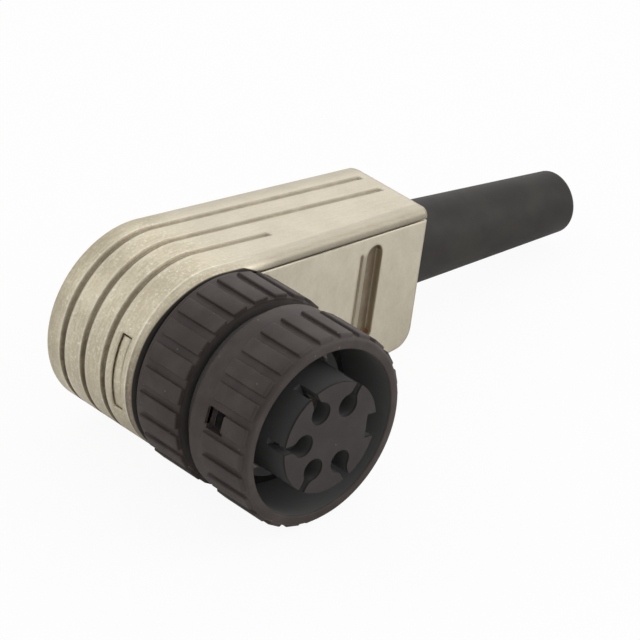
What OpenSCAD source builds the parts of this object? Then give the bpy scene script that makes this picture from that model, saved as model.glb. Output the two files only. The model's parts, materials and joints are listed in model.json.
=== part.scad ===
// Angled circular cable connector: die-cast shell, ribbed bayonet coupling ring, five contacts

/* [Shell] */
// Radius of the round head of the shell
shell_r = 9.8; // [8.6:0.05:11]
// Contact axis to the cable end face
shell_length = 29.2; // [26:0.1:36]
// Depth of the head, back face to the seat of the lock ring
shell_depth = 13.3; // [11.5:0.1:15]
// Fall of the front plate from the seat to the cable end
end_fall = 1.95; // [1:0.05:2.5]
// Half the height of the cable end face
end_half = 7.49; // [6.6:0.01:8.5]
// Offset of the cable axis above the contact axis
cable_offset = 1.59; // [0:0.05:1.8]
// Depth of the cable axis, measured from the back face
cable_depth = 5; // [4.46:0.01:5.6]
// Thickness of the side walls
side_wall = 1.5; // [1.4:0.05:1.8]
// Flanks set in from the round head
flank_set = 0.01; // [0.008:0.002:0.03]
// Extra thickness of the flanks over the round wall
flank_extra = 0.1; // [0.08:0.01:0.15]
// Thickness of the back wall
back_wall = 1.1; // [0.8:0.05:1.15]
// Thickness of the wall at the cable end
end_wall = 1.8; // [1.4:0.1:2.4]
// Rounding of the back edge along the sides
back_round = 0.4; // [0.3:0.05:0.9]
// Rounding of the back edge at the cable end
end_round = 1.25; // [0.6:0.05:1.6]
// Corner radius of the front plate at its lower end
corner_r = 2; // [1:0.1:3]
// Where the front plate starts to slope, from the contact axis
slope_start = 4; // [2:0.5:8]

/* [Grooves] */
// Back face to the middle of the first groove
groove_first = 2.52; // [1.7:0.02:3]
// Middle of the last groove behind the latch window
groove_margin = 1.2; // [1:0.02:1.6]
// Width of a groove at the surface
groove_w = 0.7; // [0.5:0.05:0.9]
// Depth of a groove
groove_d = 0.4; // [0.2:0.05:0.6]
// Lean of a groove's rear wall
groove_lean = 0.1; // [0:0.02:0.2]
// Width of a groove's floor
groove_floor = 0.15; // [0.1:0.05:0.3]
// End of the two long grooves before the cable end
groove_end = 1.2; // [1:0.1:4]
// End of the short groove, from the contact axis
groove_short = 10; // [6:0.5:14]

/* [Cover] */
// Distance of the seam from the outer side
seam_inset = 0.95; // [0.8:0.05:1.1]
// Flat land between the seam and the rounded front edge
front_land = 0.1; // [0.06:0.02:0.3]
// Angle before the lower flank where that rounding stops
front_stop = 8; // [4:1:20]
// Width of the seam
seam_gap = 0.2; // [0.1:0.05:0.3]
// Thickness of the front plate
plate_t = 1.3; // [1:0.05:1.6]
// Middle of the wide slot, from the cable end
slot_back = 7.35; // [6:0.05:9]
// Width of the wide slot
slot_w = 2.3; // [1.6:0.1:2.6]
// Upper end of the slots above the contact axis
slot_top = 7.05; // [5:0.05:7.2]
// Lower end of the slots below the contact axis
slot_low = 3.85; // [1:0.05:4]
// Depth of the wide slot in the front plate
slot_d = 0.9; // [0.5:0.05:1]
// Width of the narrow slit beside the wide slot
slit_w = 0.45; // [0.3:0.05:0.6]
// Depth of the narrow slit
slit_d = 0.4; // [0.2:0.05:0.6]
// Web between the slit and the wide slot
slit_web = 0.55; // [0.4:0.05:1]
// Drop of the slit's upper end below that of the wide slot
slit_drop = 0.6; // [0:0.1:1.5]
// Half angle of the latch window in the head
latch_half = 24; // [16:1:30]
// Lower edge of the latch window behind the lock ring's seat
latch_drop = 3.5; // [3.3:0.05:3.7]
// Height of the latch window
latch_h = 1.4; // [1.2:0.05:1.5]
// Thickness of the arm behind the latch tongue
latch_arm = 1; // [0.7:0.05:1.3]
// Slit round the latch tongue
latch_gap = 0.18; // [0.1:0.02:0.3]

/* [Lock ring and collar] */
// Front plate between the seam and the collar
collar_rim = 0.9; // [0.6:0.05:1.1]
// Length of the collar in front of the seat
collar_len = 4; // [3:0.1:6]
// Lock ring's body inside the outer side of the head
lock_drop = 0.05; // [0:0.05:0.4]
// Wall of the lock ring around the carrier's flange
lock_wall = 1.45; // [1.1:0.05:1.6]
// Plain margin behind the lock ring's ribs
lock_margin = 0.6; // [0.3:0.1:1]
// Thickness of the lock ring's front lip
lock_lip = 1.2; // [0.9:0.05:1.4]
// Number of ribs on each ring
rib_count = 24; // [18:1:30]
// Share of the pitch that a rib fills
rib_share = 0.68; // [0.5:0.02:0.8]
// Height of the ribs
rib_h = 0.35; // [0.2:0.05:0.45]
// Length of the slope at the end of a rib
rib_slope = 0.25; // [0.1:0.05:0.5]
// Turn of the first rib about the contact axis
rib_turn = 4.8; // [0:0.1:15]

/* [Coupling ring] */
// Coupling ring's body inside the outer side of the head
grip_drop = 0.05; // [0:0.05:0.4]
// Wall of the coupling ring
grip_wall = 1.1; // [0.8:0.05:1.3]
// Length of the ring's grip
grip_len = 8.25; // [7.8:0.05:10]
// Plain band behind the ribs
band_len = 2.15; // [1.5:0.05:3]
// Plain rim ahead of the ribs
rim_len = 0.35; // [0.2:0.05:1]
// Step from the grip down to the neck
neck_step = 1.05; // [0.6:0.05:1.3]
// Length of the neck behind the grip
neck_len = 1.2; // [0.8:0.05:1.6]
// Inner web ahead of the grip's rear edge
web_t = 0.35; // [0.3:0.05:0.7]
// Side of the square bayonet window
window_side = 2.2; // [1.5:0.1:2.4]
// Bayonet window ahead of the plain band
window_margin = 0.3; // [0.1:0.05:1]
// Angle of the first bayonet window about the contact axis
window_angle = 171; // [150:1:190]
// Height of the two teeth in the mouth
tooth_h = 0.85; // [0.5:0.05:1]
// Thickness of a tooth along the contact axis
tooth_t = 0.8; // [0.5:0.05:1.2]
// Teeth behind the edge of the mouth
tooth_set = 0.1; // [0.05:0.05:0.5]
// Angle midway between the teeth
tooth_middle = 143.3; // [120:0.1:160]
// Half the angle between the tips of the teeth
tooth_half = 48.3; // [30:0.1:60]
// Angle from a tooth's tip to the foot of its sloping side
tooth_slope = 6; // [4:0.1:9]
// Angle that a tooth's steep side leans
tooth_lean = 1.7; // [0.5:0.1:3]

/* [Contact head] */
// Spigot face ahead of the coupling ring
face_proud = 1; // [0.5:0.1:1.5]
// Room between the mouth and the carrier's barrel
bayonet_room = 1.55; // [1.4:0.05:1.7]
// Wall of the carrier's barrel
barrel_wall = 1.01; // [0.9:0.01:1.2]
// Step from the spigot up to the stem in the barrel
stem_step = 0.25; // [0.2:0.05:0.4]
// Thickness of the carrier's flange
flange_t = 1; // [0.8:0.05:1.3]
// Step from the stem up to the insert's rear flange
seat_step = 0.46; // [0.4:0.02:0.5]
// Thickness of the insert's rear flange
insert_flange_t = 1.5; // [1.2:0.05:1.8]
// Step in the collar that the washer rests on
collar_step = 0.59; // [0.4:0.01:0.8]
// Thickness of the washer behind the insert
retainer_t = 1; // [0.8:0.05:1.2]
// Width of the key slot
key_w = 2.5; // [2:0.1:3]
// Depth of the key slot
key_d = 1.2; // [0.8:0.05:1.3]
// Contact circle inside the spigot
contact_margin = 2.34; // [2.2:0.02:2.5]
// Radius of the openings in the spigot face
opening_r = 1; // [0.95:0.01:1.05]
// Width of the slots from the openings to the rim
keyhole_w = 0.8; // [0.6:0.05:1.2]
// Depth of those slots
keyhole_d = 2.5; // [1:0.1:4]
// Contact front below the spigot face
contact_set = 1.8; // [1:0.1:3]
// Bore radius of a contact
contact_bore = 0.5; // [0.4:0.02:0.6]
// Wall of a contact
contact_wall = 0.25; // [0.2:0.01:0.3]
// Step from a contact's barrel to its flange
contact_step = 0.25; // [0.15:0.05:0.25]
// Thickness of a contact's flange
contact_flange_t = 1; // [0.6:0.05:1.2]
// Step from a contact's barrel down to its tail
tail_step = 0.15; // [0.05:0.05:0.2]
// Length of a contact's solder cup
cup_len = 3; // [2:0.1:3.5]
// Length of a contact behind the insert
tail_len = 8.25; // [7:0.05:10]
// Thickness of the snap ring
snap_t = 0.6; // [0.5:0.05:0.8]
// Depth of the snap ring's groove
snap_depth = 0.35; // [0.2:0.05:0.5]
// Room between the snap ring and the coupling ring
snap_room = 0.5; // [0.3:0.05:0.8]
// Space for the wave spring
spring_space = 1.1; // [0.9:0.05:1.5]
// Thickness of the wave spring's strip
spring_t = 0.3; // [0.2:0.02:0.4]

/* [Cable end] */
// Length of the sleeve outside the shell
sleeve_len = 26; // [15:0.5:35]
// Radius of the sleeve at the shell
sleeve_root = 4.45; // [4:0.05:4.5]
// Wall of the sleeve at its tip
tip_wall = 0.98; // [0.8:0.02:1.4]
// Rounding of the sleeve's tip
tip_round = 0.7; // [0.3:0.05:0.8]
// Radius of the cable hole
cable_r = 2.3; // [1.8:0.05:2.4]
// Wall of the sleeve's neck in the end wall
sleeve_wall = 0.7; // [0.5:0.05:0.9]
// Step from the sleeve's neck to its inner flange
sleeve_step = 0.4; // [0.2:0.05:0.4]
// Thickness of the sleeve's inner flange
sleeve_flange_t = 1.2; // [0.8:0.1:2]
// Distance of the clamp from the end wall
clamp_back = 6; // [4:0.1:7]
// Room between the cable and the clamp screws
clamp_room = 1; // [0.5:0.05:1.2]
// Width of the clamp bar
clamp_w = 2.8; // [2:0.1:3]
// Thickness of the clamp bar
clamp_t = 0.9; // [0.6:0.05:1.2]
// How far the clamp bar presses into the cable
clamp_pinch = 0.6; // [0.2:0.05:1]
// Radius of the clamp screws
screw_r = 0.7; // [0.6:0.05:0.8]
// Rim of a screw head outside its shank
head_rim = 0.5; // [0.3:0.05:0.6]
// Thickness of a screw head
head_t = 0.8; // [0.5:0.05:1]
// Wall of a screw boss
boss_wall = 0.6; // [0.5:0.05:0.7]
// Engaged length of a clamp screw
screw_len = 3; // [2:0.1:3.5]

/* [Clearances] */
// Radial running clearance of the turning rings
run_gap = 0.1; // [0.06:0.01:0.1]
// Axial play of the turning rings
end_play = 0.1; // [0.05:0.01:0.2]
// Radial clearance of pieces that are fitted once
fit_gap = 0.05; // [0.02:0.01:0.1]

/* [Hidden] */
$fn = 96;
contact_names = ["contact_1", "contact_2", "contact_3", "contact_4", "contact_5"];

far = 60;
over = 0.6;
metal = "#cfc5b0";
black = "#433e3c";
rubber = "#3f3a39";
brass = "#c8a457";
steel = "#b8babd";

// Tangents from the round head to the corners of the cable end
top_reach = [shell_length, cable_offset + end_half];
low_reach = [shell_length, end_half - cable_offset];
flank_r = shell_r - flank_set;
top_flank = atan2(top_reach.x, top_reach.y) - acos(flank_r / norm(top_reach));
low_flank = atan2(low_reach.x, low_reach.y) - acos(flank_r / norm(low_reach));
flank_lap = acos(flank_r / shell_r) / 2;
front_round = seam_inset - front_land;
latch_low = shell_depth - latch_drop;
groove_pitch = (latch_low - groove_margin - groove_first) / 2;
groove_long = shell_length - groove_end;
slot_x = shell_length - slot_back;
slope = atan(end_fall / (shell_length - slope_start));

// Heights along the contact axis, from the back face
collar_h = shell_depth + collar_len;
flange_h = collar_h + flange_t;
lock_h = flange_h + end_play + lock_lip;
neck_h = lock_h + 2 * end_play;
grip_h = neck_h + neck_len;
mouth_h = grip_h + grip_len;
face_h = mouth_h + face_proud;
web_h = grip_h + web_t;
snap_h = web_h + spring_space;
barrel_h = snap_h + 2 * snap_t;
retainer_h = collar_h + fit_gap - retainer_t;
insert_h = retainer_h + retainer_t;
spigot_h = insert_h + insert_flange_t;
contact_h = face_h - contact_set;

// Radii that follow from the head and the fits
collar_r = shell_r - seam_inset - seam_gap - collar_rim;
lock_r = shell_r - lock_drop;
flange_r = lock_r - lock_wall - run_gap;
grip_r = shell_r - grip_drop;
neck_r = grip_r - neck_step;
mouth_r = grip_r - grip_wall;
barrel_r = mouth_r - bayonet_room;
stem_r = barrel_r - barrel_wall - fit_gap;
spigot_r = stem_r - stem_step;
insert_flange_r = stem_r + seat_step;
collar_bore = insert_flange_r - collar_step;
contact_circle = spigot_r - contact_margin;
snap_groove = barrel_r - snap_depth;
snap_r = mouth_r - snap_room;
contact_r = contact_bore + contact_wall;
contact_flange = contact_r + contact_step;
tail_r = contact_r - tail_step;
cup_depth = insert_h - tail_len;
sleeve_tip = cable_r + tip_wall;
sleeve_neck = cable_r + sleeve_wall;

// Cable clamp
clamp_x = shell_length - end_wall - clamp_back;
clamp_half = cable_r + clamp_room + screw_r;
boss_h = cable_depth + cable_r - clamp_pinch;
boss_r = screw_r + fit_gap + boss_wall;

function front_h(x) = shell_depth - max(0, x - slope_start) * tan(slope);
function top_y(x, inset) = (flank_r - inset - x * sin(top_flank)) / cos(top_flank);
function low_y(x, inset) = (x * sin(low_flank) - flank_r + inset) / cos(low_flank);

// The part lies on its lower side, with the spigot face at the origin
module lie() rotate([0, low_flank, 0]) rotate([90, 0, 0]) translate([0, 0, -face_h]) children();

// Hollow of the deep half of the shell
module hollow() translate([0, 0, back_wall]) linear_extrude(far) {
    inset = side_wall + flank_extra;
    end_x = shell_length - end_wall;
    circle(shell_r - side_wall);
    polygon([[0, top_y(0, inset)], [end_x, top_y(end_x, inset)], [end_x, low_y(end_x, inset)],
        [0, low_y(0, inset)]]);
}

// Section of a wall from the middle out to reach, rounded at the back
module wall_section(reach, round_r) difference() {
    translate([-far, 0]) square([far + reach, shell_depth + over]);
    translate([reach - round_r, 0]) difference() {
        translate([0, -over]) square([round_r + over, round_r + over]);
        translate([0, round_r]) circle(round_r);
    }
}

// A corner to be cut away, which leaves a rounding
module round_corner(r) translate([-r, -r]) difference() {
    square(r + over);
    circle(r);
}

// Runs a section along a flank: section x is outwards, section y is depth
module along_flank(flank, length) {
    rotate([0, 0, -flank]) rotate([90, 0, 90]) linear_extrude(length) children();
}

// Runs a section round the head, from the top flank to the lower flank or a stop before it
module round_head(stop) {
    turn = 180 + top_flank + low_flank + flank_lap;
    rotate([0, 0, 90 - top_flank - flank_lap]) rotate_extrude(angle = turn + flank_lap - stop) children();
}

// Everything behind the front plane, moved back by inset
module behind_front(inset) rotate([90, 0, 0]) linear_extrude(2 * far, center = true) {
    polygon([[-far, -over], [-far, shell_depth - inset], [slope_start, shell_depth - inset],
        [far, front_h(far) - inset], [far, -over]]);
}

// Rounds the lower corner of the cable end
module lower_corner() {
    centre = [shell_length - corner_r, low_y(shell_length - corner_r, corner_r)];
    reach = corner_r + over;
    out = [sin(low_flank), -cos(low_flank)];
    translate([0, 0, -over]) linear_extrude(shell_depth + 2 * over) difference() {
        polygon([centre, centre + [reach, 0], centre + [reach, 0] + reach * out, centre + reach * out]);
        translate(centre) circle(corner_r);
    }
}

// Solid outer form of both halves of the shell
module shell_form() difference() {
    intersection() {
        behind_front(0);
        union() {
            rotate_extrude() intersection() {
                wall_section(shell_r, back_round);
                square(far);
            }
            intersection() {
                along_flank(top_flank, far) wall_section(flank_r, back_round);
                mirror([0, 1, 0]) along_flank(low_flank, far) wall_section(flank_r, back_round);
                rotate([90, 0, 0]) linear_extrude(2 * far, center = true)
                    wall_section(shell_length, end_round);
            }
        }
    }
    lower_corner();
    round_head(front_stop) translate([shell_r, shell_depth]) round_corner(front_round);
    rotate([0, 0, -top_flank]) translate([slope_start - flank_r * sin(top_flank), flank_r, shell_depth])
        rotate([0, slope, 0]) rotate([90, 0, 90]) linear_extrude(far) round_corner(front_round);
    rotate([0, 0, -top_flank]) translate([0, flank_r, shell_depth])
        rotate([90, 0, 90]) linear_extrude(slope_start - flank_r * sin(top_flank)) round_corner(front_round);
}

// Space of the front plate: inside the seam above, out to the edges below and at the cable end
module plate_space(gap) difference() {
    inset = seam_inset + seam_gap - gap;
    r = shell_r - inset;
    end_x = shell_length + over;
    linear_extrude(shell_depth + over) {
        circle(r);
        polygon([[0, 0], [0, top_y(0, inset)], [end_x, top_y(end_x, inset)], [end_x, -far],
            [slope_start - gap, -far], [slope_start - gap, 0]]);
    }
    behind_front(plate_t);
}

// Section of a groove: a steep rear wall and a sloping front wall
module groove_section(reach, depth) translate([reach, depth - groove_w / 2]) {
    rear = groove_lean / groove_d;
    front = (groove_w - groove_lean - groove_floor) / groove_d;
    polygon([[over, -rear * over], [-groove_d, groove_lean], [-groove_d, groove_lean + groove_floor],
        [over, groove_w + front * over]]);
}

module groove(depth, end_x) {
    round_head(0) groove_section(shell_r, depth);
    along_flank(top_flank, end_x) groove_section(flank_r, depth);
    mirror([0, 1, 0]) along_flank(low_flank, end_x) groove_section(flank_r, depth);
}

// Sector of a ring about the contact axis
module sector(r0, r1, h0, h1, middle, half) rotate([0, 0, middle - half]) rotate_extrude(angle = 2 * half) {
    translate([r0, h0]) square([r1 - r0, h1 - h0]);
}

module at_cable(x) translate([x, cable_offset, cable_depth]) rotate([0, 90, 0]) children();

module at_screws() for (side = [-1, 1]) translate([clamp_x, cable_offset + side * clamp_half, 0]) children();

// Deep half of the shell
module shell_body() lie() color(metal) {
    difference() {
        shell_form();
        plate_space(seam_gap);
        hollow();
        for (i = [0, 1]) groove(groove_first + i * groove_pitch, groove_long);
        groove(groove_first + 2 * groove_pitch, groove_short);
        sector(shell_r - side_wall - over, shell_r + over, latch_low, latch_low + latch_h, 180, latch_half);
        at_cable(shell_length - end_wall - over) cylinder(h = end_wall + 2 * over, r = sleeve_neck + fit_gap);
    }
    at_screws() translate([0, 0, back_wall]) difference() {
        cylinder(h = boss_h - back_wall, r = boss_r);
        translate([0, 0, boss_h - back_wall - screw_len - fit_gap])
            cylinder(h = boss_h, r = screw_r + fit_gap);
    }
}

// Blind slot with round ends in the front plate
module plate_slot(x, width, top, depth) difference() {
    linear_extrude(shell_depth + over) {
        for (y = [-slot_low + width / 2, top - width / 2]) translate([x, y]) circle(width / 2);
        translate([x - width / 2, -slot_low + width / 2]) square([width, slot_low + top - width]);
    }
    behind_front(depth);
}

// Front plate with the collar and the latch hook
module shell_cover() lie() color(metal) {
    arm_r = shell_r - side_wall - latch_gap;
    tongue = latch_half - asin(latch_gap / shell_r);
    difference() {
        union() {
            intersection() {
                shell_form();
                plate_space(0);
            }
            translate([0, 0, shell_depth - plate_t / 2]) cylinder(h = collar_len + plate_t / 2, r = collar_r);
            sector(arm_r - latch_arm, arm_r, latch_low + latch_gap, shell_depth - plate_t / 2, 180, tongue);
            sector(arm_r - latch_arm, shell_r - latch_gap,
                latch_low + latch_gap, latch_low + latch_h - latch_gap, 180, tongue);
        }
        cylinder(h = far, r = collar_bore);
        translate([0, 0, retainer_h]) cylinder(h = far, r = insert_flange_r + fit_gap);
        plate_slot(slot_x, slot_w, slot_top, slot_d);
        plate_slot(slot_x - slot_w / 2 - slit_web - slit_w / 2, slit_w, slot_top - slit_drop, slit_d);
    }
}

// Ribs round a ring of radius r, with sloping ends
module ribs(r, h0, h1) intersection() {
    rib_w = 2 * PI * r / rib_count * rib_share;
    rotate_extrude() polygon([[r - rib_h, h0 - rib_slope], [r + rib_h, h0 + rib_slope],
        [r + rib_h, h1 - rib_slope], [r - rib_h, h1 + rib_slope]]);
    for (i = [0 : rib_count - 1]) rotate([0, 0, rib_turn + i * 360 / rib_count])
        translate([r - rib_h, -rib_w / 2, h0 - over]) cube([over + rib_h, rib_w, h1 - h0 + 2 * over]);
}

// Ribbed ring that screws on the collar and holds the carrier's flange
module lock_ring() lie() color(black) difference() {
    union() {
        translate([0, 0, shell_depth + end_play]) cylinder(h = lock_h - shell_depth - end_play, r = lock_r);
        ribs(lock_r, shell_depth + end_play + lock_margin, lock_h + over);
    }
    translate([0, 0, lock_h]) cylinder(h = far, r = far);
    translate([0, 0, shell_depth]) cylinder(h = collar_len, r = collar_r + run_gap);
    translate([0, 0, collar_h - over]) cylinder(h = flange_t + over + end_play, r = flange_r + run_gap);
    cylinder(h = far, r = barrel_r + run_gap);
}

// Barrel that holds the insert and carries the coupling ring
module carrier() lie() color(black) rotate_extrude() difference() {
    union() {
        translate([0, collar_h]) square([flange_r, flange_t]);
        translate([0, collar_h]) square([barrel_r, barrel_h - collar_h]);
    }
    translate([-over, collar_h - over])
        square([insert_flange_r + fit_gap + over, spigot_h - collar_h + over]);
    translate([-over, collar_h]) square([stem_r + fit_gap + over, far]);
    translate([snap_groove, snap_h]) square([over, snap_t]);
}

// Two pointed teeth in the mouth of the coupling ring
module mouth_teeth() translate([0, 0, mouth_h - tooth_set - tooth_t]) linear_extrude(tooth_t) {
    foot_r = mouth_r + grip_wall / 4;
    for (side = [-1, 1]) polygon([for (corner = [[foot_r, tooth_half - tooth_slope],
        [foot_r, tooth_half - tooth_lean], [mouth_r - tooth_h, tooth_half]])
        let (turn = tooth_middle + side * corner[1]) corner[0] * [cos(turn), sin(turn)]]);
}

// Bayonet ring with ribs, two windows and two teeth in its mouth
module coupling_ring() lie() color(black) difference() {
    union() {
        mouth_teeth();
        rotate_extrude() polygon([[barrel_r + run_gap, neck_h], [neck_r, neck_h], [neck_r, grip_h],
            [grip_r, grip_h], [grip_r, mouth_h], [mouth_r, mouth_h], [mouth_r, web_h],
            [barrel_r + run_gap, web_h]]);
        ribs(grip_r, grip_h + band_len, mouth_h - rim_len);
    }
    for (turn = [0, 180]) rotate([0, 0, window_angle + turn])
        translate([0, -window_side / 2, grip_h + band_len + window_margin])
            cube([far, window_side, window_side]);
}

// Wavy spring washer between the coupling ring and the snap ring
module wave_spring() lie() color(steel) {
    steps = 72;
    waves = 3;
    rim = [barrel_r + 2 * run_gap, snap_r - 2 * run_gap];
    middle = (web_h + end_play + snap_h) / 2;
    swing = (snap_h - web_h - end_play - spring_t) / 2;
    ring = [for (i = [0 : steps - 1], side = [-1, 1], r = rim)
        let (a = i * 360 / steps)
        [r * cos(a), r * sin(a), middle + swing * cos(waves * a) + side * spring_t / 2]];
    around = [0, 1, 3, 2];
    faces = [for (i = [0 : steps - 1], k = [0 : 3])
        let (a = 4 * i + around[k], b = 4 * i + around[(k + 1) % 4],
            c = 4 * ((i + 1) % steps) + around[(k + 1) % 4], d = 4 * ((i + 1) % steps) + around[k])
        each [[a, d, c], [a, c, b]]];
    polyhedron(ring, faces);
}

// Snap ring in the groove of the barrel
module retaining_ring() lie() color(steel) rotate([0, 0, 10]) rotate_extrude(angle = 340)
    translate([snap_groove + fit_gap, snap_h]) square([snap_r - snap_groove - fit_gap, snap_t]);

module at_contact(i) rotate([0, 0, 60 * i]) translate([contact_circle, 0, 0]) children();

// Insulator with the key slot and the keyhole openings
module contact_insert() lie() color(black) difference() {
    union() {
        translate([0, 0, insert_h]) cylinder(h = insert_flange_t, r = insert_flange_r);
        translate([0, 0, insert_h]) cylinder(h = barrel_h - insert_h, r = stem_r);
        translate([0, 0, insert_h]) cylinder(h = face_h - insert_h, r = spigot_r);
    }
    translate([spigot_r - key_d, -key_w / 2, barrel_h]) cube([far, key_w, far]);
    for (i = [1 : 5]) at_contact(i) {
        translate([0, 0, contact_h]) cylinder(h = far, r = opening_r);
        cylinder(h = far, r = contact_r + fit_gap);
        translate([0, 0, insert_h - over])
            cylinder(h = contact_flange_t + over, r = contact_flange + fit_gap);
        translate([0, -keyhole_w / 2, face_h - keyhole_d]) cube([far, keyhole_w, far]);
    }
}

// Washer behind the insert that traps the contacts
module insert_retainer() lie() color(black) translate([0, 0, retainer_h]) difference() {
    cylinder(h = retainer_t, r = insert_flange_r);
    for (i = [1 : 5]) at_contact(i) translate([0, 0, -over])
        cylinder(h = retainer_t + 2 * over, r = tail_r + fit_gap);
}

// Socket contact with its flange, tail and solder cup
module contact(i) lie() color(brass) at_contact(i) difference() {
    union() {
        translate([0, 0, insert_h]) cylinder(h = contact_h - insert_h, r = contact_r);
        translate([0, 0, insert_h]) cylinder(h = contact_flange_t, r = contact_flange);
        translate([0, 0, cup_depth]) cylinder(h = insert_h - cup_depth, r = tail_r);
        translate([0, 0, cup_depth]) cylinder(h = cup_len, r = contact_r);
    }
    translate([0, 0, spigot_h]) cylinder(h = far, r = contact_bore);
    translate([0, 0, cup_depth - over]) cylinder(h = cup_len, r = contact_bore);
    translate([0, -contact_r, cup_depth - over]) cube([far, 2 * contact_r, cup_len]);
}

// Tapered sleeve with a neck and a flange inside the end wall
module bend_relief() lie() color(rubber) at_cable(shell_length) rotate_extrude() {
    taper = atan((sleeve_root - sleeve_tip) / sleeve_len);
    lip_r = sleeve_neck + sleeve_step;
    lip_end = -end_wall - sleeve_flange_t;
    difference() {
        polygon([[cable_r, lip_end], [lip_r, lip_end], [lip_r, -end_wall], [sleeve_neck, -end_wall],
            [sleeve_neck, 0], [sleeve_root, 0], [sleeve_tip, sleeve_len], [cable_r, sleeve_len]]);
        translate([sleeve_tip, sleeve_len]) rotate(taper) round_corner(tip_round);
    }
}

// Bar across the cable, held by two screws
module clamp_bar() lie() color(steel) difference() {
    hull() at_screws() translate([0, 0, boss_h]) cylinder(h = clamp_t, r = clamp_w / 2);
    at_screws() cylinder(h = far, r = screw_r + fit_gap);
}

// Two pan head screws in the bosses
module clamp_screws() lie() color(steel) at_screws() {
    translate([0, 0, boss_h + clamp_t]) cylinder(h = head_t, r = screw_r + head_rim);
    translate([0, 0, boss_h - screw_len]) cylinder(h = screw_len + clamp_t, r = screw_r);
}

shell_body();
shell_cover();
lock_ring();
carrier();
coupling_ring();
wave_spring();
retaining_ring();
contact_insert();
insert_retainer();
for (i = [1 : 5]) contact(i);
bend_relief();
clamp_bar();
clamp_screws();
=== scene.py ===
import json
import math
import types

import bmesh
import bpy
from mathutils import Matrix, Vector


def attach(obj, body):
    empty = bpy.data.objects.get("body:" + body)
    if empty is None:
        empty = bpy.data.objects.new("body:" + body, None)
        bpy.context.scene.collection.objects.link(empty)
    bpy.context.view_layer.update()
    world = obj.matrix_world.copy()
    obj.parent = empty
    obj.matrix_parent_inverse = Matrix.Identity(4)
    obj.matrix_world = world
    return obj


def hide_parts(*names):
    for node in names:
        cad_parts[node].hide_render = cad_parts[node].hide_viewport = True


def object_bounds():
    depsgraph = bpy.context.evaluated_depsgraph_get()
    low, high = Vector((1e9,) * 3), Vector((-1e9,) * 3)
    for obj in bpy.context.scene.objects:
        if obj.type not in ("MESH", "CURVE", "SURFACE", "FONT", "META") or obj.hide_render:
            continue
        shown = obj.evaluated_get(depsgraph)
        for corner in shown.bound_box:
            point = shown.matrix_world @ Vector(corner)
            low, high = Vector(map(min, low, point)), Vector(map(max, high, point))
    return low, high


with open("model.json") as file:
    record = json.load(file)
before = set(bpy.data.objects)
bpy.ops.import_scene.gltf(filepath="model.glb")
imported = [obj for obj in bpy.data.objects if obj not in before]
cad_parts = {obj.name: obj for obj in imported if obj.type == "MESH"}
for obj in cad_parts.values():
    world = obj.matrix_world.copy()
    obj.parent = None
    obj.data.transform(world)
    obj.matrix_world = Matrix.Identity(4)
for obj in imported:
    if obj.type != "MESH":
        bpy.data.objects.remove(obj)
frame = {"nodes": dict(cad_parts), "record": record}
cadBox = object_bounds()
nodes = frame["nodes"]
mm = 0.001
print("frame loaded:", len(nodes), "nodes")


class Wire:  # a node socket that takes part in expressions
    def __init__(self, graph, socket):
        self.graph = graph
        self.socket = socket

    def calc(self, operation, *parts):
        return self.graph.add("ShaderNodeMath", {"operation": operation}, dict(enumerate(parts)))

    def __add__(self, other):
        return self.calc("ADD", self, other)

    def __radd__(self, other):
        return self.calc("ADD", other, self)

    def __sub__(self, other):
        return self.calc("SUBTRACT", self, other)

    def __rsub__(self, other):
        return self.calc("SUBTRACT", other, self)

    def __mul__(self, other):
        return self.calc("MULTIPLY", self, other)

    def __rmul__(self, other):
        return self.calc("MULTIPLY", other, self)

    def __truediv__(self, other):
        return self.calc("DIVIDE", self, other)

    def __rtruediv__(self, other):
        return self.calc("DIVIDE", other, self)

    def __pow__(self, other):
        return self.calc("POWER", self, other)

    def size(self):
        return self.calc("ABSOLUTE", self)

    def sign(self):
        return self.calc("SIGN", self)

    def least(self, other):
        return self.calc("MINIMUM", self, other)

    def most(self, other):
        return self.calc("MAXIMUM", self, other)

    def fade(self, low, high, lowValue=0.0, highValue=1.0):  # smooth step between two values
        ends = {"Value": self, "From Min": low, "From Max": high, "To Min": lowValue, "To Max": highValue}
        return self.graph.add("ShaderNodeMapRange", {"interpolation_type": "SMOOTHSTEP"}, ends)

    def drop(self, low, high):  # smooth step from full to nothing
        return self.fade(low, high, 1, 0)

    def near(self, middle, core, edge, top=1.0):  # full about a middle, nothing past the edge
        return (self - middle).size().fade(core, edge, top, 0)


class Graph:  # one node tree
    def __init__(self, tree):
        self.tree = tree

    def add(self, kind, settings=None, inputs=None, out=0):
        node = self.tree.nodes.new(kind)
        for key, value in (settings or {}).items():
            setattr(node, key, value)
        for key, value in (inputs or {}).items():
            if isinstance(value, Wire):
                self.tree.links.new(value.socket, node.inputs[key])
            else:
                node.inputs[key].default_value = value
        if isinstance(out, tuple):
            return [Wire(self, node.outputs[o]) for o in out]
        return Wire(self, node.outputs[out])

    def split(self, vector):
        return self.add("ShaderNodeSeparateXYZ", None, {0: vector}, out=("X", "Y", "Z"))


def strongest(masks):
    best = masks[0]
    for mask in masks[1:]:
        best = best.most(mask)
    return best


# Camera, as the photograph was taken: place and lens in millimetres, angles in degrees

camera = {"place": (-236.785, -251.361, 226.431), "azimuth": -43.067, "elevation": 31.725, "roll": 1.862,
          "lens": 247.41, "sensor": 36, "near": 0.01, "far": 50}

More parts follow.
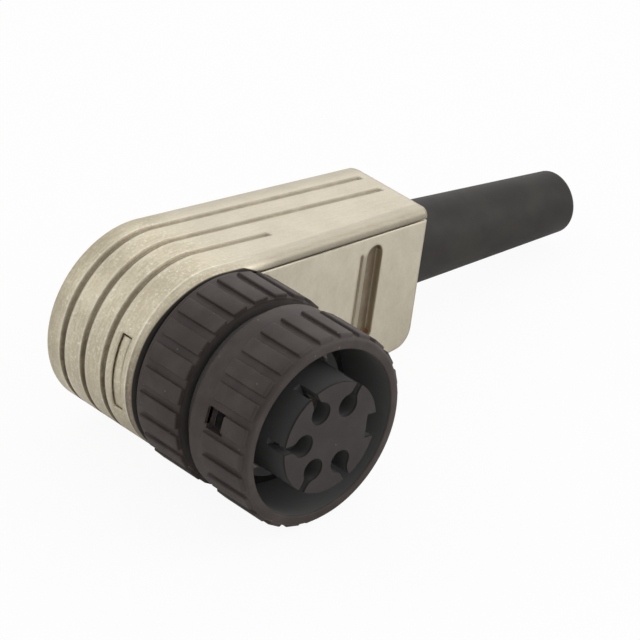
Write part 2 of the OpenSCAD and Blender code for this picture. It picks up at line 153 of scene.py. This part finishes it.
eye = bpy.data.objects.new("camera", bpy.data.cameras.new("camera"))
bpy.context.scene.collection.objects.link(eye)
eye.data.lens = camera["lens"]
eye.data.sensor_width = camera["sensor"]
eye.data.clip_start = camera["near"]
eye.data.clip_end = camera["far"]
look = Matrix.Rotation(math.radians(camera["azimuth"]), 4, "Z")
look = look @ Matrix.Rotation(math.radians(90 - camera["elevation"]), 4, "X")
look = look @ Matrix.Rotation(math.radians(camera["roll"]), 4, "Z")
eye.matrix_world = Matrix.Translation(Vector(camera["place"]) * mm) @ look
bpy.context.scene.camera = eye
bpy.context.scene.view_settings.view_transform = "Standard"
print("camera set")

# Floor, soft world and lamps, in metres and watts; the floor lies a hair below the part

studio = {"floorDrop": 0.05 * mm, "floorSide": 3.0, "floorColour": (0.88, 0.88, 0.87, 1), "cameraShare": 0.93,
          "glossShare": 0.10, "worldLeft": 0.42, "worldRight": 1.0, "worldFade": (-0.9, 0.7),
          "aim": (0.018, 0.022, 0)}
lamps = {"backRight": {"place": (0.34, 0.42, 0.40), "side": 0.45, "power": 0.17},
         "backLeft": {"place": (-0.42, 0.42, 0.36), "side": 0.60, "power": 0.70},
         "overhead": {"place": (0.02, 0.00, 0.60), "side": 0.45, "power": 0.06},
         "front": {"place": (0.42, -0.38, 0.34), "side": 0.40, "power": 0.74}}


def makeFloor():
    half = studio["floorSide"] / 2
    z = cadBox[0][2] - studio["floorDrop"]
    corners = [(-half, -half, z), (half, -half, z), (half, half, z), (-half, half, z)]
    mesh = bpy.data.meshes.new("floor")
    mesh.from_pydata(corners, [], [(0, 1, 2, 3)])
    floor = bpy.data.objects.new("floor", mesh)
    bpy.context.scene.collection.objects.link(floor)
    paint = bpy.data.materials.new("floorPaint")
    paint.use_nodes = True
    paint.node_tree.nodes.clear()
    g = Graph(paint.node_tree)
    rays = ("Is Camera Ray", "Is Glossy Ray", "Is Transmission Ray")
    seen, gloss, through = g.add("ShaderNodeLightPath", out=rays)
    share = (seen * studio["cameraShare"]).most(gloss.most(through) * studio["glossShare"])
    lit = g.add("ShaderNodeBsdfDiffuse", None, {"Color": studio["floorColour"]})
    plain = g.add("ShaderNodeEmission", None, {"Color": (1, 1, 1, 1), "Strength": 1.0})
    both = g.add("ShaderNodeMixShader", None, {0: share, 1: lit, 2: plain})
    g.add("ShaderNodeOutputMaterial", None, {"Surface": both}, out=())
    mesh.materials.append(paint)


def makeWorld():  # darker to the left, white where the camera looks past the floor
    world = bpy.data.worlds.new("studio")
    bpy.context.scene.world = world
    world.use_nodes = True
    world.node_tree.nodes.clear()
    g = Graph(world.node_tree)
    seen = g.add("ShaderNodeLightPath", out="Is Camera Ray")
    aside = g.split(g.add("ShaderNodeTexCoord", out="Generated"))[0]
    level = aside.fade(*studio["worldFade"], studio["worldLeft"], studio["worldRight"])
    sky = g.add("ShaderNodeBackground", None, {"Color": (1, 1, 1, 1), "Strength": level})
    white = g.add("ShaderNodeBackground", None, {"Color": (1, 1, 1, 1), "Strength": 1.0})
    both = g.add("ShaderNodeMixShader", None, {0: seen, 1: sky, 2: white})
    g.add("ShaderNodeOutputWorld", None, {"Surface": both}, out=())


def makeLamps():
    for name, lamp in lamps.items():
        light = bpy.data.lights.new(name, "AREA")
        light.size = lamp["side"]
        light.energy = lamp["power"]
        holder = bpy.data.objects.new(name, light)
        bpy.context.scene.collection.objects.link(holder)
        aim = Vector(studio["aim"]) - Vector(lamp["place"])
        facing = aim.to_track_quat("-Z", "Y").to_matrix().to_4x4()
        holder.matrix_world = Matrix.Translation(lamp["place"]) @ facing


makeFloor()
makeWorld()
makeLamps()
print("studio ready")

# Materials: their places are millimetres in the shell's own frame, which lies on its lower flank

shellFrame = {"turn": math.radians(-7.762715), "faceHeight": 29.75}


def startMaterial(name):
    material = bpy.data.materials.new(name)
    material.use_nodes = True
    material.node_tree.nodes.clear()
    g = Graph(material.node_tree)
    place = g.add("ShaderNodeTexCoord", out="Object")
    place = g.add("ShaderNodeMapping", None, {"Vector": place, "Scale": (1 / mm, 1 / mm, 1 / mm),
                                              "Rotation": (0, shellFrame["turn"], 0)})
    return material, g, place


def closeMaterial(g, inputs):
    shader = g.add("ShaderNodeBsdfPrincipled", None, inputs)
    g.add("ShaderNodeOutputMaterial", None, {"Surface": shader}, out=())


def mixColour(g, share, first, second, blend="MIX"):
    ends = {0: share, 6: first, 7: second}
    return g.add("ShaderNodeMix", {"data_type": "RGBA", "blend_type": blend}, ends, out=2)


def grain(g, place, scale, detail=3.0, rough=0.55, stretch=None):
    if stretch:
        place = g.add("ShaderNodeMapping", None, {"Vector": place, "Scale": stretch})
    return g.add("ShaderNodeTexNoise", None, {"Vector": place, "Scale": scale, "Detail": detail,
                                              "Roughness": rough})


def roundedBump(g, finish, height):  # soft edges under the fine grain
    edge = g.add("ShaderNodeBevel", {"samples": finish["edgeSamples"]}, {"Radius": finish["edge"] * mm})
    return g.add("ShaderNodeBump", None, {"Strength": finish["bump"], "Distance": finish["bumpDepth"] * mm,
                                          "Height": height, "Normal": edge})


# Shell: tumbled nickel, worn at the round end, with painted shade and some dirt in the grooves, a stained
# slot, and painted highlights, light and shade at its edges and gaps

# Several tones here are painted light and shade: the pale tone for highlights and lit lips, the edge shades,
# the near-black gap tone, the warm seam light and the slot floor's darker tone
nickel = {"bright": (0.70, 0.64, 0.52, 1), "dull": (0.56, 0.505, 0.395, 1), "lightAndWear": (0.92, 0.87, 0.76, 1),
          "handled": (1.0, 0.985, 0.93, 1), "shade": (0.79, 0.78, 0.76, 1), "crestShade": (0.62, 0.615, 0.61, 1),
          "dirtAndShade": (0.15, 0.112, 0.07, 1), "grimeAndShade": (0.16, 0.122, 0.09, 1), "warmLight": (0.95, 0.80, 0.62, 1),
          "tarnish": (0.40, 0.32, 0.215, 1), "slotFloorShade": (0.26, 0.205, 0.14, 1), "rust": (0.33, 0.175, 0.06, 1),
          "gapShade": (0.022, 0.018, 0.014, 1), "metallic": 0.94, "roughness": 0.40, "edge": 0.40,
          "edgeSamples": 8, "bump": 0.3, "bumpDepth": 0.12}
shellMarks = {"wornEnd": (-1, 7), "plateBack": (9.0, 9.5), "slotFoot": (-4.2, -3.6),
              "front": {"height": 12.8, "from": 4, "fall": 0.07738},
              "seam": {"reach": 8.74, "flank": math.radians(1.40)},
              "grooves": ((2.02, 28.226), (5.06, 28.226), (8.10, 10.231)),  # height and end of each
              "groove": {"rearWall": 0.2, "rearLip": 0.55, "frontLip": 0.4, "half": 0.36},
              "rim": {"lip": 11.32, "start": 11.4, "gap": 12.26, "gapRise": 0.22, "radius": 9.86},
              "slot": {"middle": 21.85, "half": 1.15, "low": -3.85, "top": 7.05},
              "slit": {"middle": 19.925, "half": 0.24, "top": 6.45},
              "web": {"left": 20.15, "right": 20.7, "top": 6.3},
              "latch": {"height": 10.61, "low": (-1.6, 0.6), "top": (3.85, 4.0), "side": (-8.6, -8.2)}}


def shellSpots(g, place):  # where a point lies on the shell, and the grains that the marks share
    x, y, z = g.split(place)
    h = shellFrame["faceHeight"] - y
    front, seam = shellMarks["front"], shellMarks["seam"]
    s = types.SimpleNamespace(x=x, z=z, h=h)
    s.depth = front["height"] - (x - front["from"]).most(0) * front["fall"] - h  # behind the sloping front
    s.reach = x * math.sin(seam["flank"]) + z * math.cos(seam["flank"]) - seam["reach"]  # above the seam
    s.end = x.drop(*shellMarks["wornEnd"])
    s.cloud = grain(g, place, 0.22, 4)
    s.tumbled = grain(g, place, 3.2, 5, 0.75)
    s.patch = grain(g, place, 0.9, 4, 0.6)
    s.brushed = grain(g, place, 1.0, 4, 0.65, (0.5, 5.0, 0.5))
    return s


# worn nickel tone with painted glints, and painted shade on the rounded edges above the seam and at the back
def wornMetalAndPaintedLight(g, s):
    worn = s.cloud * 0.3 + s.tumbled * 0.4 + s.brushed * 0.3
    spread = 0.2 - s.end * 0.13
    colour = mixColour(g, worn.fade(0.5 - spread, 0.5 + spread), nickel["dull"], nickel["bright"])
    colour = mixColour(g, s.end, colour, nickel["handled"], "MULTIPLY")
    # painted highlight: pale glints on the worn round end
    glint = s.tumbled.fade(0.54, 0.66) * s.patch.fade(0.42, 0.6) * s.end * s.h.fade(-0.3, 0.6)
    colour = mixColour(g, glint * 0.8, colour, nickel["lightAndWear"])
    aboveSeam = s.reach.fade(-0.05, 0.15) * s.x.fade(3, 8)
    # painted shade on the rounded edge above the seam and on the rounded back edge
    browShade = aboveSeam * s.depth.drop(1.4, 1.9) * 0.7
    backEdgeShade = s.h.fade(0.2, 1.5, 0.75, 0)
    colour = mixColour(g, browShade.most(backEdgeShade), colour, nickel["shade"], "MULTIPLY")
    # painted shade over the fillet just above the seam, damping its highlight
    return mixColour(g, aboveSeam * s.depth.drop(0.1, 0.6), colour, nickel["crestShade"], "MULTIPLY")


def grooveMarks(s):  # painted shade with some dirt on the steep rear walls, worn edges with painted highlights beside them, and painted light on the shaded end walls
    groove = shellMarks["groove"]
    wallShades, endWallLight = [], []
    lips = [s.h.near(shellMarks["rim"]["lip"], 0.03, 0.12, 0.6)]
    for middle, reachEnd in shellMarks["grooves"]:
        wall = s.h.near(middle - groove["rearWall"], 0.08, 0.31)
        wallShades.append(wall * s.x.drop(reachEnd - 0.3, reachEnd - 0.05))
        endWallLight.append(s.x.near(reachEnd, 0.02, 0.05) * s.h.near(middle, groove["half"], groove["half"] + 0.1))
        lips.append(s.h.near(middle - groove["rearLip"], 0.04, 0.16, 0.3))
        lips.append(s.h.near(middle + groove["frontLip"], 0.1, 0.4, 0.25))
    # the painted groove shade is stronger low on the head
    darkening = strongest(wallShades) * s.patch.fade(0.2, 0.6, 0.6, 1) * (0.48 + s.end * s.z.fade(-2, 6, 0.47, 0))
    lip = strongest(lips) * s.end * s.patch.fade(0.35, 0.6, 0.4, 1)
    return darkening, lip.most(strongest(endWallLight))


def rimGrimeAndShade(s):  # brown wear and painted shade on the edge of the head beside the lock ring, stronger low down
    rise = s.h - shellMarks["rim"]["start"]
    grimeAndShade = rise.fade(0, 0.12) * s.end * s.z.fade(-2, 8, 1, 0.15)
    return grimeAndShade * rise.fade(0.2, 0.5, 1, 0.8) * s.tumbled.fade(0.35, 0.65, 1, 0.8)


def seamMarks(s):  # a darker line in the seam near the head, and warm painted light in it towards the cable
    line = s.reach.size().drop(0.1, 0.3) * s.x.fade(8, 14) * s.depth.drop(1.2, 1.6)
    darkening = line * s.patch.fade(0.25, 0.6, 0.2, 0.45) * s.x.drop(14, 24)
    return darkening, line * s.x.fade(14, 26) * s.depth.fade(0.2, 0.4)


def webMarks(s):  # a darker tone on the web between slit and slot, and painted light lifting the shade inside the slit
    slit, web = shellMarks["slit"], shellMarks["web"]
    foot = s.z.fade(*shellMarks["slotFoot"])
    darkening = s.x.fade(web["left"], web["left"] + 0.1) * s.x.drop(web["right"] - 0.1, web["right"] + 0.1)
    darkening = darkening * s.z.drop(web["top"] - 0.5, web["top"] + 0.4) * foot * s.depth.drop(0.5, 0.7)
    # painted light: the slit's inside is lifted towards the pale tone
    inside = s.x.near(slit["middle"], slit["half"], slit["half"] + 0.02) * s.depth.fade(0.02, 0.06)
    inside = inside * s.z.drop(slit["top"], slit["top"] + 0.05) * foot * s.h.fade(*shellMarks["plateBack"])
    return darkening * 0.45, inside * 0.35


def paintedGapShade(s):  # painted shade in the gap beside the latch, and painted shadow beside the lock ring
    latch, rim = shellMarks["latch"], shellMarks["rim"]
    window = s.h.near(latch["height"], 0.04, 0.12) * s.x.drop(*latch["side"])
    window = window * s.z.fade(*latch["low"]) * s.z.drop(*latch["top"])
    radius = (s.x * s.x + s.z * s.z) ** 0.5
    shadow = (s.h - rim["gap"] - s.z.fade(4, 9.5, 0, rim["gapRise"])).fade(-0.06, 0.1)
    return window.most(shadow * radius.drop(rim["radius"], rim["radius"] + 0.1))


def slotMarks(s):  # tarnish stain with painted shade, how much of it is on the floor rather than the shaded wall, and rust at the foot
    slot = shellMarks["slot"]
    across = s.x - slot["middle"]
    inside = across.size().drop(slot["half"], slot["half"] + 0.1) * s.depth.fade(0.02, 0.12)
    inside = inside * s.z.fade(slot["low"] - 0.1, slot["low"] + 0.1)
    inside = inside * s.z.drop(slot["top"], slot["top"] + 0.15)
    floor = across.drop(slot["half"] - 0.03, slot["half"] - 0.01)
    stain = inside * s.h.fade(*shellMarks["plateBack"]) * s.patch.fade(0.3, 0.6, 0.85, 1)
    stain = stain * s.depth.fade(0.1, 0.5) * (0.35 + floor * 0.65)
    foot = s.z.drop(slot["low"] + 0.3, slot["low"] + 1.5)
    return stain, floor, stain * foot * 0.8


def shellNickel(name):
    material, g, place = startMaterial(name)
    s = shellSpots(g, place)
    grooveShade, lip = grooveMarks(s)
    seamDarkening, seamLight = seamMarks(s)
    webDarkening, slit = webMarks(s)
    stain, floor, rust = slotMarks(s)
    darkening = strongest([grooveShade, seamDarkening, webDarkening])
    grimeAndShade = rimGrimeAndShade(s)
    gapShade = paintedGapShade(s)
    # tarnish on the slot's wall, with a darker painted shade on its floor
    slotTarnishAndShade = mixColour(g, floor, nickel["tarnish"], nickel["slotFloorShade"])
    colour = wornMetalAndPaintedLight(g, s)
    # the coats include painted highlights and light, painted shade in the grooves, rim and gaps, and dirt,
    # tarnish and rust
    coats = ((lip, nickel["lightAndWear"]), (grimeAndShade, nickel["grimeAndShade"]), (seamLight, nickel["warmLight"]),
             (slit, nickel["lightAndWear"]), (darkening, nickel["dirtAndShade"]), (gapShade, nickel["gapShade"]), (stain, slotTarnishAndShade),
             (rust, nickel["rust"]))
    for share, paint in coats:
        colour = mixColour(g, share, colour, paint)
    dull = strongest([darkening, grimeAndShade, stain, gapShade])
    rough = nickel["roughness"] + (s.tumbled - 0.5) * 0.22 + dull * 0.2
    height = s.tumbled * (0.3 + s.end * 0.9) + s.brushed * (0.25 + s.end * 0.9)
    closeMaterial(g, {"Base Color": colour, "Metallic": nickel["metallic"] - dull * 0.5, "Roughness": rough,
                      "Normal": roundedBump(g, nickel, height)})
    return material


# Rings and insert: satin moulded plastic with dust; rougher inside the mouth, with paler grey painted light
# there, in the keyholes and in the neck between the rings to lift their shade

# the paler grey recess and gap colours are painted light lifting the shade in the recesses
moulded = {"ring": {"colour": (0.040, 0.028, 0.0245, 1), "pale": (0.064, 0.048, 0.043, 1),
                    "inner": (0.12, 0.118, 0.116, 1), "bore": 8.75, "depth": (1.95, 8.7)},
           "insert": {"colour": (0.029, 0.0205, 0.0195, 1), "pale": (0.040, 0.031, 0.030, 1),
                      "inner": (0.07, 0.07, 0.069, 1), "bore": 6.6, "depth": (0.1, 20)},
           "mouth": {"start": 1.05, "radius": 8.5}, "between": {"start": 9.15, "end": 10.6, "radius": 9.4},
           "speck": (0.16, 0.15, 0.14, 1), "gap": (0.085, 0.082, 0.077, 1), "roughness": 0.52,
           "specular": 0.36, "edge": 0.12, "edgeSamples": 4, "bump": 0.12, "bumpDepth": 0.1}


def ringPlastic(name, tint):
    material, g, place = startMaterial(name)
    x, y, z = g.split(place)
    cloud = grain(g, place, 0.35, 3)
    fine = grain(g, place, 9.0, 4, 0.7)
    dust = g.add("ShaderNodeTexVoronoi", None, {"Vector": place, "Scale": 0.55, "Randomness": 1.0})
    colour = mixColour(g, (cloud * 0.7 + fine * 0.3).fade(0.35, 0.7), tint["colour"], tint["pale"])
    colour = mixColour(g, dust.fade(0.035, 0.06, 0.8, 0), colour, moulded["speck"])
    radius = (x * x + z * z) ** 0.5
    first, last = tint["depth"]
    mouth, between = moulded["mouth"], moulded["between"]
    wall = y.fade(mouth["start"], mouth["start"] + 0.2) * radius.fade(mouth["radius"], mouth["radius"] + 0.1)
    inner = y.fade(first, first + 0.2).most(wall) * y.drop(last - 0.2, last)  # teeth left out
    inner = inner * radius.drop(tint["bore"] - 0.1, tint["bore"])
    # painted light: paler grey in the mouth and keyholes to lift their shade
    colour = mixColour(g, inner, colour, tint["inner"])
    gap = y.fade(between["start"], between["start"] + 0.1) * y.drop(between["end"], between["end"] + 0.1)
    gap = gap * radius.drop(between["radius"], between["radius"] + 0.2)  # painted light lifting the shade in the neck between the rings
    colour = mixColour(g, gap, colour, moulded["gap"])
    rough = moulded["roughness"] + (fine - 0.5) * 0.16 + inner * 0.3
    closeMaterial(g, {"Base Color": colour, "Roughness": rough, "Normal": roundedBump(g, moulded, fine),
                      "Specular IOR Level": moulded["specular"]})
    return material


sleeve = {"colour": (0.019, 0.015, 0.0135, 1), "pale": (0.030, 0.0255, 0.020, 1), "roughness": 0.58,
          "specular": 0.38, "edge": 0.3, "edgeSamples": 4, "bump": 0.15, "bumpDepth": 0.1}


def sleeveRubber(name):
    material, g, place = startMaterial(name)
    cloud = grain(g, place, 0.25, 3)
    fine = grain(g, place, 7.0, 4, 0.7)
    colour = mixColour(g, cloud.fade(0.35, 0.7), sleeve["colour"], sleeve["pale"])
    rough = sleeve["roughness"] + (fine - 0.5) * 0.14
    closeMaterial(g, {"Base Color": colour, "Roughness": rough, "Normal": roundedBump(g, sleeve, fine),
                      "Specular IOR Level": sleeve["specular"]})
    return material


brass = {"dark": (0.40, 0.28, 0.11, 1), "bright": (0.62, 0.45, 0.18, 1), "stains": (1.6, 0.4, 0.65),
         "metallic": 1.0, "roughness": 0.28}
spring = {"dark": (0.022, 0.021, 0.020, 1), "bright": (0.045, 0.043, 0.041, 1), "stains": (1.2, 0.35, 0.65),
          "metallic": 0.8, "roughness": 0.5}


def stainedMetal(name, metal):
    material, g, place = startMaterial(name)
    scale, low, high = metal["stains"]
    stain = grain(g, place, scale, 4)
    colour = mixColour(g, stain.fade(low, high), metal["dark"], metal["bright"])
    closeMaterial(g, {"Base Color": colour, "Metallic": metal["metallic"],
                      "Roughness": metal["roughness"] + stain * 0.2})
    return material


finishes = {"nickel": shellNickel("shellNickel"),
            "black_plastic": ringPlastic("ringPlastic", moulded["ring"]),
            "insert_plastic": ringPlastic("insertPlastic", moulded["insert"]),
            "sleeve_rubber": sleeveRubber("sleeveRubber"),
            "contact_brass": stainedMetal("contactBrass", brass),
            "steel": stainedMetal("springSteel", spring)}
for part in frame["record"]["subparts"]:
    mesh = nodes[part["node"]].data
    mesh.materials.clear()
    mesh.materials.append(finishes[part["material_slot"]])
print("finishes:", len(finishes))

# Pieces made in the shell's own frame, in millimetres, then laid down as the part lies

weld = 0.0005
sharpAngle = math.radians(35)
roundSteps = 192
filletSteps = 5
layDown = Matrix.Scale(mm, 4) @ Matrix.Rotation(-shellFrame["turn"], 4, "Y")
layDown = layDown @ Matrix.Rotation(math.pi / 2, 4, "X")
layDown = layDown @ Matrix.Translation((0, 0, -shellFrame["faceHeight"]))


def roundProfile(corners):  # corners: radius, height and fillet
    points = []
    for i, (r, h, fillet) in enumerate(corners):
        here = Vector((r, h))
        if not fillet:
            points.append((r, h))
            continue
        back = (Vector(corners[i - 1][:2]) - here).normalized()
        ahead = (Vector(corners[(i + 1) % len(corners)][:2]) - here).normalized()
        half = back.angle(ahead) / 2
        centre = here + (back + ahead).normalized() * (fillet / math.sin(half))
        first = here + back * (fillet / math.tan(half)) - centre
        last = here + ahead * (fillet / math.tan(half)) - centre
        sweep = first.angle_signed(last)
        for k in range(filletSteps + 1):
            arm = first.copy()
            arm.rotate(Matrix.Rotation(-sweep * k / filletSteps, 2))
            points.append(tuple(centre + arm))
    return points


def lathe(profile):
    turns = [2 * math.pi * i / roundSteps for i in range(roundSteps)]
    grid = [(r * math.cos(a), r * math.sin(a), h) for a in turns for r, h in profile]
    n = len(profile)
    quads = []
    for i in range(roundSteps):
        here, ahead = i * n, (i + 1) % roundSteps * n
        quads += [(here + k, ahead + k, ahead + (k + 1) % n, here + (k + 1) % n) for k in range(n)]
    mesh = bpy.data.meshes.new("lathe")
    mesh.from_pydata(grid, [], quads)
    return mesh


def cutPrisms(mesh, prisms):  # prisms: angle, outline of radial and sideways places, height range
    cutter = bmesh.new()
    for angle, outline, heights in prisms:
        spin = Matrix.Rotation(math.radians(angle), 3, "Z")
        low, high = [[cutter.verts.new(spin @ Vector((u, v, h))) for u, v in outline] for h in heights]
        cutter.faces.new(low[::-1])
        cutter.faces.new(high)
        for i in range(len(outline)):
            cutter.faces.new((low[i - 1], low[i], high[i], high[i - 1]))
    tool = bpy.data.meshes.new("cutter")
    cutter.to_mesh(tool)
    cutter.free()
    work, blade = [bpy.data.objects.new("work", mesh), bpy.data.objects.new("blade", tool)]
    for o in (work, blade):
        bpy.context.scene.collection.objects.link(o)
    cut = work.modifiers.new("cut", "BOOLEAN")
    cut.operation = "DIFFERENCE"
    cut.solver = "EXACT"
    cut.object = blade
    bpy.context.view_layer.update()
    result = bpy.data.meshes.new_from_object(work.evaluated_get(bpy.context.evaluated_depsgraph_get()))
    for o in (work, blade):
        bpy.data.objects.remove(o)
    return result


def joinMeshes(name, meshes, finish):
    bm = bmesh.new()
    for mesh in meshes:
        bm.from_mesh(mesh)
    bmesh.ops.remove_doubles(bm, verts=bm.verts, dist=weld)
    bmesh.ops.recalc_face_normals(bm, faces=bm.faces)
    for face in bm.faces:
        face.smooth = True
    for edge in bm.edges:
        edge.smooth = len(edge.link_faces) == 2 and edge.calc_face_angle(0) < sharpAngle
    bm.transform(layDown)
    mesh = bpy.data.meshes.new(name)
    bm.to_mesh(mesh)
    bm.free()
    mesh.materials.clear()
    mesh.materials.append(finish)
    piece = bpy.data.objects.new(name, mesh)
    bpy.context.scene.collection.objects.link(piece)
    return piece


# Ribs of both rings: rounded bars, set round the axis

ribInputs = [("Count", "NodeSocketInt"), ("Radius", "NodeSocketFloat"), ("Start", "NodeSocketFloat"),
             ("End", "NodeSocketFloat"), ("Width", "NodeSocketFloat"), ("Height", "NodeSocketFloat"),
             ("Sink", "NodeSocketFloat"), ("Rounding", "NodeSocketFloat"), ("Start Slope", "NodeSocketFloat"),
             ("End Slope", "NodeSocketFloat"), ("Turn", "NodeSocketFloat"), ("Finish", "NodeSocketMaterial")]
ringRadius = 9.75
ribShare = 0.68  # of the way from one rib to the next
ribs = {"Count": 24, "Radius": ringRadius, "Height": 0.35, "Sink": 0.35, "Rounding": 0.13,
        "Start Slope": 0.22, "Turn": math.radians(4.8)}
ribs["Width"] = 2 * math.pi * ringRadius / ribs["Count"] * ribShare


def ribTree():
    tree = bpy.data.node_groups.new("ringRibs", "GeometryNodeTree")
    tree.interface.new_socket("Geometry", in_out="OUTPUT", socket_type="NodeSocketGeometry")
    for name, kind in ribInputs:
        tree.interface.new_socket(name, in_out="INPUT", socket_type=kind)
    g = Graph(tree)
    names = tuple(name for name, kind in ribInputs)
    count, radius, start, end, width, height, sink, rounding, rearSlope, frontSlope, turn, finish = g.add(
        "NodeGroupInput", out=names)
    rows = 8
    bar = g.add("GeometryNodeMeshCube", None, {"Size": (2, 2, 2), "Vertices X": rows, "Vertices Y": rows,
                                               "Vertices Z": rows})
    halves = [(height + sink) / 2, width / 2, (end - start) / 2]
    core, rim = [], []
    unit = g.split(g.add("GeometryNodeInputPosition"))
    for u, half in zip(unit, halves):  # rows of the cube go to the rounded edges
        core.append(u.sign() * (half - rounding))
        rim.append(u.sign() * (1 - (1 - u.size()) * (rows - 1) / (rows - 2)))
    core = g.add("ShaderNodeCombineXYZ", None, dict(enumerate(core)))
    rim = g.add("ShaderNodeCombineXYZ", None, dict(enumerate(rim)))
    rim = g.add("ShaderNodeVectorMath", {"operation": "NORMALIZE"}, {0: rim})
    rim = g.add("ShaderNodeVectorMath", {"operation": "SCALE"}, {0: rim, "Scale": rounding})
    x, y, z = g.split(g.add("ShaderNodeVectorMath", {"operation": "ADD"}, {0: core, 1: rim}))
    rise = x - (sink - height) / 2  # above the ring's surface
    slope = rearSlope + (frontSlope - rearSlope) * (z.sign() + 1) / 2
    z = z - z.sign() * slope * (rise / height).most(0).least(1) + (start + end) / 2
    x = radius + rise - y * y / (2 * radius)
    spot = g.add("ShaderNodeCombineXYZ", None, {0: x, 1: y, 2: z})
    bar = g.add("GeometryNodeSetPosition", None, {"Geometry": bar, "Position": spot})
    step = g.add("GeometryNodeInputIndex") * (2 * math.pi) / count + turn
    spin = g.add("ShaderNodeCombineXYZ", None, {2: step})
    spots = g.add("GeometryNodePoints", None, {"Count": count})
    bars = g.add("GeometryNodeInstanceOnPoints", None, {"Points": spots, "Instance": bar, "Rotation": spin})
    bars = g.add("GeometryNodeRealizeInstances", None, {0: bars})
    bars = g.add("GeometryNodeSetMaterial", None, {"Geometry": bars, "Material": finish})
    g.add("NodeGroupOutput", None, {0: bars}, out=())
    return tree


def makeRibs(tree, sizes, finish):
    holder = bpy.data.objects.new("ribs", bpy.data.meshes.new("ribs"))
    bpy.context.scene.collection.objects.link(holder)
    modifier = holder.modifiers.new("ribs", "NODES")
    modifier.node_group = tree
    ids = {item.name: item.identifier for item in tree.interface.items_tree if item.in_out == "INPUT"}
    for name, value in sizes.items():
        modifier[ids[name]] = value
    modifier[ids["Finish"]] = finish
    bpy.context.view_layer.update()
    mesh = bpy.data.meshes.new_from_object(holder.evaluated_get(bpy.context.evaluated_depsgraph_get()))
    bpy.data.objects.remove(holder)
    return mesh


# Coupling ring, with two windows and two teeth in its mouth

coupling = {"ribs": {**ribs, "Start": 22.62, "End": 28.42, "End Slope": 0.22},
            "windows": (171, 351), "windowSide": 2.2, "windowStart": 22.95, "windowReach": (7, 12),
            "profile": [(7.2, 19.3, 0), (8.7, 19.3, 0.15), (8.7, 20.5, 0.12), (ringRadius, 20.5, 0.35),
                        (ringRadius, 28.75, 0.4), (8.65, 28.75, 0.18), (8.65, 20.85, 0.1), (7.2, 20.85, 0)]}
teeth = {"foot": 8.925, "tip": 7.8, "middle": 143.3, "half": 48.3, "slope": 6, "lean": 1.7, "start": 27.85,
         "end": 28.65, "rounding": 0.1}


def makeTeeth():
    bm = bmesh.new()
    foot, half = teeth["foot"], teeth["half"]
    corners = ((foot, half - teeth["slope"]), (foot, half - teeth["lean"]), (teeth["tip"], half))
    for side in (-1, 1):
        low, high = [], []
        for r, turn in corners:
            angle = math.radians(teeth["middle"] + side * turn)
            low.append(bm.verts.new((r * math.cos(angle), r * math.sin(angle), teeth["start"])))
            high.append(bm.verts.new((r * math.cos(angle), r * math.sin(angle), teeth["end"])))
        bm.faces.new(low)
        bm.faces.new(high)
        for i in range(3):
            bm.faces.new((low[i], low[i - 2], high[i - 2], high[i]))
    bmesh.ops.recalc_face_normals(bm, faces=bm.faces)
    bmesh.ops.bevel(bm, geom=bm.edges[:], offset=teeth["rounding"], segments=2, profile=0.5, affect="EDGES")
    mesh = bpy.data.meshes.new("teeth")
    bm.to_mesh(mesh)
    bm.free()
    return mesh


def makeCoupling(tree, finish):
    half = coupling["windowSide"] / 2
    near, far = coupling["windowReach"]
    square = [(near, -half), (far, -half), (far, half), (near, half)]
    heights = (coupling["windowStart"], coupling["windowStart"] + 2 * half)
    holes = [(angle, square, heights) for angle in coupling["windows"]]
    body = cutPrisms(lathe(roundProfile(coupling["profile"])), holes)
    bars = cutPrisms(makeRibs(tree, coupling["ribs"], finish), holes)
    return joinMeshes("couplingGrip", [body, bars, makeTeeth()], finish)


lock = {"ribs": {**ribs, "Start": 13.48, "End": 19.08, "End Slope": 0.02},
        "profile": [(7.85, 12.9, 0), (ringRadius, 12.9, 0.3), (ringRadius, 19.1, 0.2), (7.2, 19.1, 0),
                    (7.2, 17.9, 0), (8.3, 17.9, 0), (8.3, 16.2, 0), (7.85, 16.2, 0)]}


def makeLock(tree, finish):
    body = lathe(roundProfile(lock["profile"]))
    return joinMeshes("lockGrip", [body, makeRibs(tree, lock["ribs"], finish)], finish)


# Insert: the keyholes are flared where the round opening meets its slot

keyholes = {"angles": (60, 120, 180, 240, 300), "circle": 3.45, "radius": 1.18, "heights": (27.95, 32),
            "arc": {"start": 35, "step": 14.5, "points": 20},
            "flare": ((1.14, 0.56), (1.38, 0.46), (1.7, 0.41), (3.5, 0.40))}


def makeInsert(finish):
    bm = bmesh.new()
    bm.from_mesh(nodes["contact_insert"].data)
    bm.transform(layDown.inverted())
    bmesh.ops.remove_doubles(bm, verts=bm.verts, dist=weld)
    mesh = bpy.data.meshes.new("insert")
    bm.to_mesh(mesh)
    bm.free()
    arc, flare = keyholes["arc"], keyholes["flare"]
    turns = [math.radians(arc["start"] + arc["step"] * i) for i in range(arc["points"])]
    outline = [(keyholes["radius"] * math.cos(a), keyholes["radius"] * math.sin(a)) for a in turns]
    outline += [(u, -v) for u, v in flare] + [(u, v) for u, v in reversed(flare)]
    outline = [(keyholes["circle"] + u, v) for u, v in outline]
    prisms = [(angle, outline, keyholes["heights"]) for angle in keyholes["angles"]]
    return joinMeshes("insertFace", [cutPrisms(mesh, prisms)], finish)


tree = ribTree()
made = [(makeCoupling(tree, finishes["black_plastic"]), "coupling_ring", "coupling_ring", "black_plastic"),
        (makeLock(tree, finishes["black_plastic"]), "lock_ring", "lock_ring", "black_plastic"),
        (makeInsert(finishes["insert_plastic"]), "contact_insert", "shell", "insert_plastic")]
for piece, node, body, slot in made:
    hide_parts(node)
    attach(piece, body)
    print(piece.name, len(piece.data.polygons), "faces")
